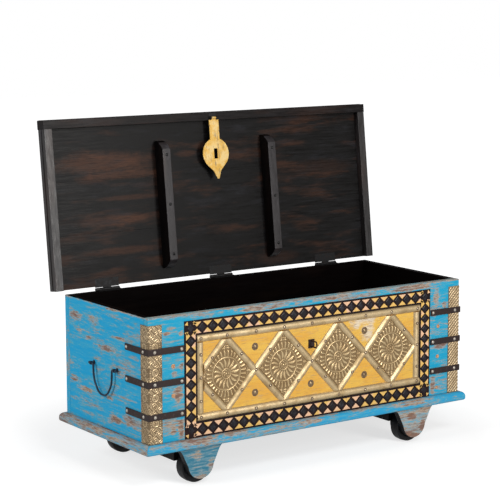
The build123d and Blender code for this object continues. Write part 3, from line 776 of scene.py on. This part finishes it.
# ---- the yellow panel and its patterned border ----
# A painted board lies in the recess, with a mitred border round it: dark strips inlaid
# with yellow triangles that point at each other between rows of small dark diamonds.
panel_low, panel_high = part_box("panel_backing")
panel_face = panel_low.y
panel_half = panel_high.x
opening_low, opening_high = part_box("brass_strips_long")

yellow, tree, shader, place = new_material("yellow paint")
clouds = stretched_noise(tree, place, (1.0, 3.0, 3.0), 9.0, 4.0, 0.6)
scratches = stretched_noise(tree, place, (2.0, 1.0, 26.0), 11.0, 6.0, 0.72)
grain = stretched_noise(tree, place, (6.0, 1.0, 90.0), 7.0, 4.0, 0.6)
panel_marks = [
    front_mark(172, 252, 52, 22, 1.0),
    front_mark(190, 214, 24, 26, 0.85),
    front_mark(150, 236, 14, 12, 0.9),
]
worn = mark_mask(tree, place, panel_marks, 0.5)
clouded = fade(tree, clouds, 0.4, 0.65, 0, 0.8)
paint = blend_colour(tree, clouded, (0.74, 0.44, 0.06, 1), (0.70, 0.35, 0.035, 1))
paint = blend_colour(tree, fade(tree, scratches, 0.54, 0.66, 0, 0.8), paint, (0.52, 0.33, 0.15, 1))
paint = blend_colour(tree, fade(tree, grain, 0.54, 0.68, 0, 0.55), paint, (0.34, 0.18, 0.06, 1))
scraped = calc(tree, "ADD", scratches, calc(tree, "MULTIPLY", grain, 0.4))
white = calc(tree, "MULTIPLY", worn, fade(tree, scraped, 0.5, 0.72, 0.35, 1.0))
bared = blend_colour(tree, fade(tree, grain, 0.46, 0.62), (0.74, 0.66, 0.52, 1), (0.36, 0.27, 0.22, 1))
panel_colour = blend_colour(tree, white, paint, bared)
panel_rough = fade(tree, scratches, 0.3, 0.7, 0.4, 0.62)
surface(tree, shader, panel_colour, panel_rough, calc(tree, "ADD", grain, scratches), 0.2, 0.0005)
finish_node("panel_backing", yellow)

border_black = dark_wood(
    "dark border strips", (0, 0, 0),
    (0.016, 0.008, 0.009, 1), (0.035, 0.014, 0.012, 1), (0.02, 0.012, 0.012, 1), shine=0.12,
)
for side in ("bottom", "left", "right", "top"):
    finish_node("border_" + side, border_black)

diamond_black, tree, shader, place = new_material("black resin diamonds")
mottle = plain_noise(tree, place, 120.0, 5.0, 0.7)
black = blend_colour(tree, fade(tree, mottle, 0.5, 0.7), (0.008, 0.006, 0.009, 1), (0.03, 0.028, 0.04, 1))
shader.inputs["Specular IOR Level"].default_value = 0.35
surface(tree, shader, black, fade(tree, mottle, 0.3, 0.7, 0.22, 0.45), mottle, 0.3, 0.0006)

triangle_yellow, tree, shader, place = new_material("yellow inlaid triangles")
pinkish = fade(tree, plain_noise(tree, place, 26.0, 1.0), 0.45, 0.6)
patch = plain_noise(tree, place, 110.0, 5.0, 0.7)
paint = blend_colour(tree, pinkish, (0.74, 0.46, 0.12, 1), (0.78, 0.48, 0.30, 1))
paint = blend_colour(tree, fade(tree, patch, 0.56, 0.7, 0, 0.8), paint, (0.38, 0.22, 0.12, 1))
surface(tree, shader, paint, 0.5, patch, 0.2, 0.0004)

border_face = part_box("border_top")[0].y
band_bottom = opening_low.z - panel_low.z
band_top = panel_high.z - opening_high.z
band_side = panel_half - opening_high.x
level_bands = ((panel_low.z + band_bottom / 2, band_bottom), (panel_high.z - band_top / 2, band_top))
row_count, column_count = 23, 8
row_pitch = (opening_high.x - opening_low.x) / row_count
column_pitch = (opening_high.z - opening_low.z) / column_count
plain_edges = 0.009

diamonds = bmesh.new()
triangles = bmesh.new()


def lay_diamond(x, z, wide, tall):
    """A low four-sided stud with a bevelled crown."""
    place = Matrix.Translation((x, border_face, z)) @ facing
    for size, deep in ((1.0, 1.6), (0.6, 2.6)):
        bmesh.ops.create_cone(
            diamonds, cap_ends=True, segments=4, radius1=0.5, radius2=0.36, depth=1,
            matrix=place @ Matrix.Diagonal((wide * size, tall * size, deep / 1000, 1)),
        )


def lay_triangle(x, z, turn, base, tall):
    """A thin triangle that points up until it is turned, centred half way up."""
    place = Matrix.Translation((x, border_face, z)) @ facing @ Matrix.Rotation(turn, 4, "Z")
    place = place @ Matrix.Diagonal((base / 1.732, tall / 1.5, 0.0012, 1))
    place = place @ Matrix.Translation((0, -0.25, 0))
    bmesh.ops.create_cone(
        triangles, cap_ends=True, segments=3, radius1=1.0, radius2=0.93, depth=1, matrix=place
    )


for base_z, band in level_bands:
    inner = band - plain_edges
    tall = inner * 0.42
    for step in range(row_count):
        lay_diamond(opening_low.x + (step + 0.5) * row_pitch, base_z, row_pitch * 0.72, inner * 0.80)
    for step in range(row_count + 1):
        x = opening_low.x + step * row_pitch
        for up in (-1, 1):
            z = base_z + up * (inner / 2 - tall / 2)
            lay_triangle(x, z, quarter + up * quarter, row_pitch * 0.86, tall)
for side in (-1, 1):
    x0 = side * (panel_half - band_side / 2)
    inner = band_side - plain_edges
    tall = inner * 0.45
    for step in range(column_count):
        lay_diamond(x0, opening_low.z + (step + 0.5) * column_pitch, inner * 0.76, column_pitch * 0.76)
    for step in range(column_count + 1):
        z = opening_low.z + step * column_pitch
        for out in (-1, 1):
            lay_triangle(x0 + out * (inner / 2 - tall / 2), z, out * quarter, column_pitch * 0.84, tall)
    for base_z, band in level_bands:
        lay_diamond(x0, base_z, band_side * 0.60, band * 0.60)
        for across, up, turn in ((-1, -1, -1), (1, -1, 1), (1, 1, 3), (-1, 1, -3)):
            x, z = x0 + across * band_side * 0.29, base_z + up * band * 0.29
            lay_triangle(x, z, turn * quarter / 2, 0.013, 0.009)
as_piece("border_diamonds", diamonds, [diamond_black], "chest", 20)
as_piece("border_triangles", triangles, [triangle_yellow], "chest", 20)

# ---- brass strips and embossed diamonds ----
# Half-round brass strips frame the opening and cross it on the slant. Each of the four
# diamonds between them is one sheet, hammered from behind into a round flower.
strip_brass = brass(
    "half-round brass", (0.66, 0.51, 0.30, 1), (0.42, 0.30, 0.15, 1), (0.17, 0.10, 0.045, 1),
    dents=0.003, rough=0.16,
)


def smooth_node(node, angle):
    """Shades the CAD piece as one smooth skin, apart from edges sharper than the angle."""
    mesh = frame["nodes"][node].data
    mesh.shade_smooth()
    mesh.set_sharp_from_angle(angle=math.radians(angle))


for node in ("brass_strips_long", "brass_strips_short", "diamond_strips_rising", "diamond_strips_falling"):
    finish_node(node, strip_brass)
    smooth_node(node, 35)

rosette_low, rosette_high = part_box("rosette_plates")
middle_z = (rosette_low.z + rosette_high.z) / 2
half_tall = (rosette_high.z - rosette_low.z) / 2
flower_pitch, lattice_half_tall, row_middle = 0.184, 0.097, -0.006
half_wide = half_tall * flower_pitch / 2 / lattice_half_tall
first_middle = row_middle - 1.5 * flower_pitch


def flower(x, z):
    """How high the flower stands, in millimetres, at a place measured from its middle."""
    radius, turn = math.hypot(x, z), math.atan2(z, x)
    height = 1.1 * ring(radius, 13.4, 1.1) + 1.5 * ring(radius, 43.6, 1.0) + 0.5 * ring(radius, 40.9, 0.7)
    height += 1.5 * math.exp(-((radius / 2.2) ** 2))
    if 3 < radius < 12.5:
        curl = math.cos(5 * turn - radius * 0.9)
        height += 1.2 * max(0.0, curl) * ring(radius, 7.6, 2.6)
    if 16 < radius < 41:
        share = (radius - 16) / 25
        sweep = 0.10 * math.sin(share * 3.1)
        step = math.tau / 16
        away = ((turn + sweep) / step) % 1.0 - 0.5
        reach = away * step * radius
        wide = 3.6 * math.sin(math.pi * min(1.0, share * 0.95 + 0.05)) ** 0.7
        bowl = max(0.0, 1 - (reach / max(wide, 0.4)) ** 2)
        height += 2.0 * bowl**0.6 * (0.35 + 0.65 * share) * min(1.0, (1 - share) / 0.12)
        height -= 0.7 * math.exp(-((reach / 0.7) ** 2)) * math.sin(math.pi * share)
    if 45.5 < radius < 63:
        share = (radius - 45.5) / 17.5
        step = math.tau / 32
        reach = ((turn / step) % 1.0 - 0.5) * step * radius
        wide = 1.3 + 2.0 * share
        bowl = max(0.0, 1 - (reach / wide) ** 2)
        height += 2.5 * bowl**0.7 * min(1.0, share / 0.12, (1 - share) / 0.16)
    if radius > 64:
        height += 0.8 * max(0.0, math.cos(radius * 1.1)) + 0.6 * max(0.0, math.cos(34 * turn))
    return height


rosette_brass = brass(
    "embossed brass flowers", (0.80, 0.61, 0.34, 1), (0.60, 0.43, 0.22, 1), (0.18, 0.11, 0.05, 1),
    clean_height=1.5, metal=0.8,
)
for number in range(4):
    shape = bmesh.new()
    bmesh.ops.create_grid(shape, x_segments=120, y_segments=120, size=1)
    heights = []
    for vert in shape.verts:
        u, v = vert.co.x, vert.co.y
        x, z = (u - v) / 2 * half_wide, (u + v) / 2 * half_tall
        edge = min(1 - abs(u), 1 - abs(v))
        rise = flower(x * 1000, z * 1000) * min(1.0, edge / 0.03)
        heights.append(rise)
        centre_x = first_middle + number * flower_pitch
        vert.co = (centre_x + x, panel_face - 0.0012 - rise / 1000 * 0.95, middle_z + z)
    rim = [edge for edge in shape.edges if edge.is_boundary]
    drawn = bmesh.ops.extrude_edge_only(shape, edges=rim)["geom"]
    for vert in drawn:
        if isinstance(vert, bmesh.types.BMVert):
            vert.co.y = panel_face + 0.0005
            heights.append(0.0)
    bmesh.ops.recalc_face_normals(shape, faces=shape.faces)
    shape.faces.ensure_lookup_table()
    if shape.faces[0].normal.y > 0:
        bmesh.ops.reverse_faces(shape, faces=shape.faces)
    stands_for = ["rosette_plates"] if number == 0 else []
    name = "flower_%d" % (number + 1)
    piece = as_piece(name, shape, [rosette_brass], "chest", 80, stands_for)
    store_relief(piece.data, heights)

# Brass tacks hold the strips and bigger, duller studs the board. A flat brown disc behind each head stands
# for the shade of a dimple round it: painted shade.
tack_brass = brass("brass tacks", (0.80, 0.68, 0.48, 1), (0.45, 0.33, 0.2, 1), (0.08, 0.05, 0.03, 1))
stud_brass = brass(
    "dull brass studs", (0.34, 0.25, 0.15, 1), (0.14, 0.09, 0.05, 1), (0.03, 0.018, 0.01, 1),
    dents=0.002, rough=0.1,
)
finish_node("panel_tacks", tack_brass)
smooth_node("panel_tacks", 50)
tacks = frame["nodes"]["panel_tacks"].data
tacks.materials.append(stud_brass)
# A flat brown disc behind each tack and stud: painted shade of a dimple.
painted_dimple_shade, tree, shader, place = new_material("painted shade round the tacks")
dimple_shade_mottle = fade(tree, plain_noise(tree, place, 300.0, 3.0), 0.4, 0.65)
dimple_shade_colour = blend_colour(tree, dimple_shade_mottle, (0.09, 0.05, 0.025, 1), (0.22, 0.14, 0.07, 1))
set_input(tree, shader.inputs["Base Color"], dimple_shade_colour)
shader.inputs["Roughness"].default_value = 0.6
heads = bmesh.new()
heads.from_mesh(tacks)
bmesh.ops.remove_doubles(heads, verts=heads.verts, dist=1e-6)
dimple_shade_discs = bmesh.new()
studs = []
stud_least, stud_reach = 0.005, 0.0095
waiting = dict.fromkeys(heads.verts)
while waiting:
    found = [next(iter(waiting))]
    del waiting[found[0]]
    for vert in found:
        for edge in vert.link_edges:
            other = edge.other_vert(vert)
            if other in waiting:
                del waiting[other]
                found.append(other)
    low = Vector(min(v.co[i] for v in found) for i in range(3))
    high = Vector(max(v.co[i] for v in found) for i in range(3))
    middle = (low + high) / 2
    wide = (high.x - low.x) / 2
    proud = 0.0008
    if wide > stud_least:
        proud = 0.0034
        studs.append(middle)
    bmesh.ops.create_cone(
        dimple_shade_discs, cap_ends=True, segments=20, radius1=wide * 1.65, radius2=wide * 1.5, depth=0.0006,
        matrix=Matrix.Translation((middle.x, low.y + proud, middle.z)) @ facing,
    )
heads.free()
for face in tacks.polygons:
    if any((face.center - middle).length < stud_reach for middle in studs):
        face.material_index = 1
as_piece("tack_dimple_shade", dimple_shade_discs, [painted_dimple_shade], "chest", 30)
staple_iron = iron(
    "rusty staple", (0.022, 0.010, 0.008, 1), (0.08, 0.05, 0.04, 1), (0.07, 0.02, 0.01, 1), 0.4
)
finish_node("padlock_staple", staple_iron)

# ---- drop handles ----
# A bail bent from round iron swings in two forged eyes on each end of the box. The iron is
# painted over with the blue of the box and rubbed dark again.
handle_iron = iron(
    "painted-over handles", (0.012, 0.03, 0.055, 1), (0.02, 0.09, 0.15, 1), (0.025, 0.016, 0.014, 1), 0.3
)
for node in ("handle_eyes_left", "handle_eyes_right", "handle_left", "handle_right"):
    finish_node(node, handle_iron)
    smooth_node(node, 45)

# ---- hinges ----
# Three butt hinges of black iron let into the back board and the lid, with iron pins and
# countersunk screws.
hinge_iron = iron("black hinges", (0.012, 0.012, 0.013, 1), (0.06, 0.06, 0.062, 1), (0.03, 0.018, 0.014, 1))
for node in ("hinge_box_leaves", "hinge_lid_leaves", "hinge_pins", "hinge_box_screws", "hinge_lid_screws"):
    finish_node(node, hinge_iron)

# ---- the lid ----
# Three wide boards edge to edge inside a stepped rim, with two battens screwed on edge
# underneath. All of it is stained near-black, with red-brown streaks in the grain. The
# battens' outward edges are painted lighter and their sides black: painted light and shade.
lid_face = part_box("lid_board_front")[0].y


def lid_mark(right, up, half_right, half_up, strength):
    """A warm streak on the open lid, in metres along X and up."""
    return (right, lid_face, up), (half_right, 0.3, half_up), strength


lid_warm = [
    lid_mark(-0.36, 0.80, 0.17, 0.030, 0.8),
    lid_mark(-0.30, 0.765, 0.14, 0.014, 0.7),
    lid_mark(-0.34, 0.64, 0.13, 0.016, 0.65),
    lid_mark(-0.32, 0.555, 0.14, 0.012, 0.6),
    lid_mark(-0.28, 0.70, 0.12, 0.008, 0.5),
    lid_mark(-0.09, 0.81, 0.04, 0.010, 0.5),
    lid_mark(0.38, 0.74, 0.12, 0.03, 0.22),
    lid_mark(0.2, 0.49, 0.08, 0.02, 0.3),
]
lid_stain = dark_wood(
    "stained lid boards", (0, 0, 0),
    (0.0045, 0.004, 0.004, 1), (0.072, 0.028, 0.014, 1), (0.020, 0.020, 0.025, 1), lid_warm, shine=0.18,
)
lid_outer = dark_wood(
    "stained lid top", (0, 0, 0),
    (0.013, 0.010, 0.009, 1), (0.05, 0.022, 0.013, 1), (0.03, 0.027, 0.026, 1), shift=(9, 4, 2),
)
rim_stain = dark_wood(
    "stained rim", (0, 0, 0),
    (0.007, 0.005, 0.005, 1), (0.035, 0.016, 0.011, 1), (0.028, 0.027, 0.03, 1), shift=(2, 8, 1), shine=0.2,
)
rim_side_stain = dark_wood(
    "stained rim sides", (0, quarter, 0),
    (0.012, 0.009, 0.009, 1), (0.035, 0.016, 0.011, 1), (0.05, 0.05, 0.06, 1), shift=(2, 8, 1), shine=0.7,
)
# The battens' outward edges take a lighter copy of the stain, painted light, and their sides a black copy,
# painted shade.
batten_stain_painted_lit = dark_wood(
    "stained battens, painted lit", (0, quarter, 0),
    (0.024, 0.020, 0.022, 1), (0.05, 0.035, 0.03, 1), (0.075, 0.07, 0.08, 1), shift=(6, 1, 5), shine=0.5,
)
painted_shade_batten_sides = dark_wood(
    "painted shade on the battens' sides", (0, quarter, 0),
    (0.004, 0.003, 0.003, 1), (0.010, 0.006, 0.005, 1), (0.006, 0.006, 0.006, 1), shine=0.05,
)


def lid_side(face):
    """0 for the underside and the edges, 1 for the top of the lid."""
    return 1 if face.normal.y > 0.6 else 0


for node in ("lid_board_back", "lid_board_middle", "lid_board_front"):
    eased(node, 0.0003, [lid_stain, lid_outer], lid_side)
eased("lid_rim_front", 0.0014, [rim_stain], sharp=40)
for node in ("lid_rim_left", "lid_rim_right"):
    eased(node, 0.003, [rim_side_stain], sharp=40)


def batten_lit_or_shaded(face):
    """0 for the planed edge that faces out, lit by painted light, and 1 for the flat sides, in painted shade.
    """
    return 0 if face.normal.y < -0.35 else 1


for node in ("lid_batten_left", "lid_batten_right"):
    eased(node, 0.0014, [batten_stain_painted_lit, painted_shade_batten_sides], batten_lit_or_shaded, 40)
black_screw = iron(
    "black screws", (0.006, 0.006, 0.006, 1), (0.02, 0.02, 0.02, 1), (0.01, 0.008, 0.007, 1), 0.3
)
finish_node("batten_screws", black_screw)

# ---- the hasp ----
# A leaf of yellow brass cut from plate hangs from a pin under the front rim, in an iron
# eye. It is scraped grey along its length and its slot drops over the staple.
finish_node("hasp_eye", hinge_iron)
finish_node("hasp_pin", dark_iron)
hasp_brass, tree, shader, place = new_material("yellow brass hasp")
warmth = plain_noise(tree, place, 40.0, 5.0, 0.65)
scrapes = stretched_noise(tree, place, (9.0, 1.0, 1.2), 26.0, 6.0, 0.75)
colour = blend_colour(tree, fade(tree, warmth, 0.4, 0.62), (0.78, 0.46, 0.09, 1), (0.76, 0.56, 0.24, 1))
colour = blend_colour(tree, fade(tree, scrapes, 0.54, 0.64, 0, 0.9), colour, (0.26, 0.20, 0.13, 1))
shader.inputs["Metallic"].default_value = 0.55
surface(tree, shader, colour, fade(tree, warmth, 0.35, 0.7, 0.34, 0.5), warmth, 0.2, 0.0005)
eased("hasp", 0.0005, [hasp_brass], sharp=40)
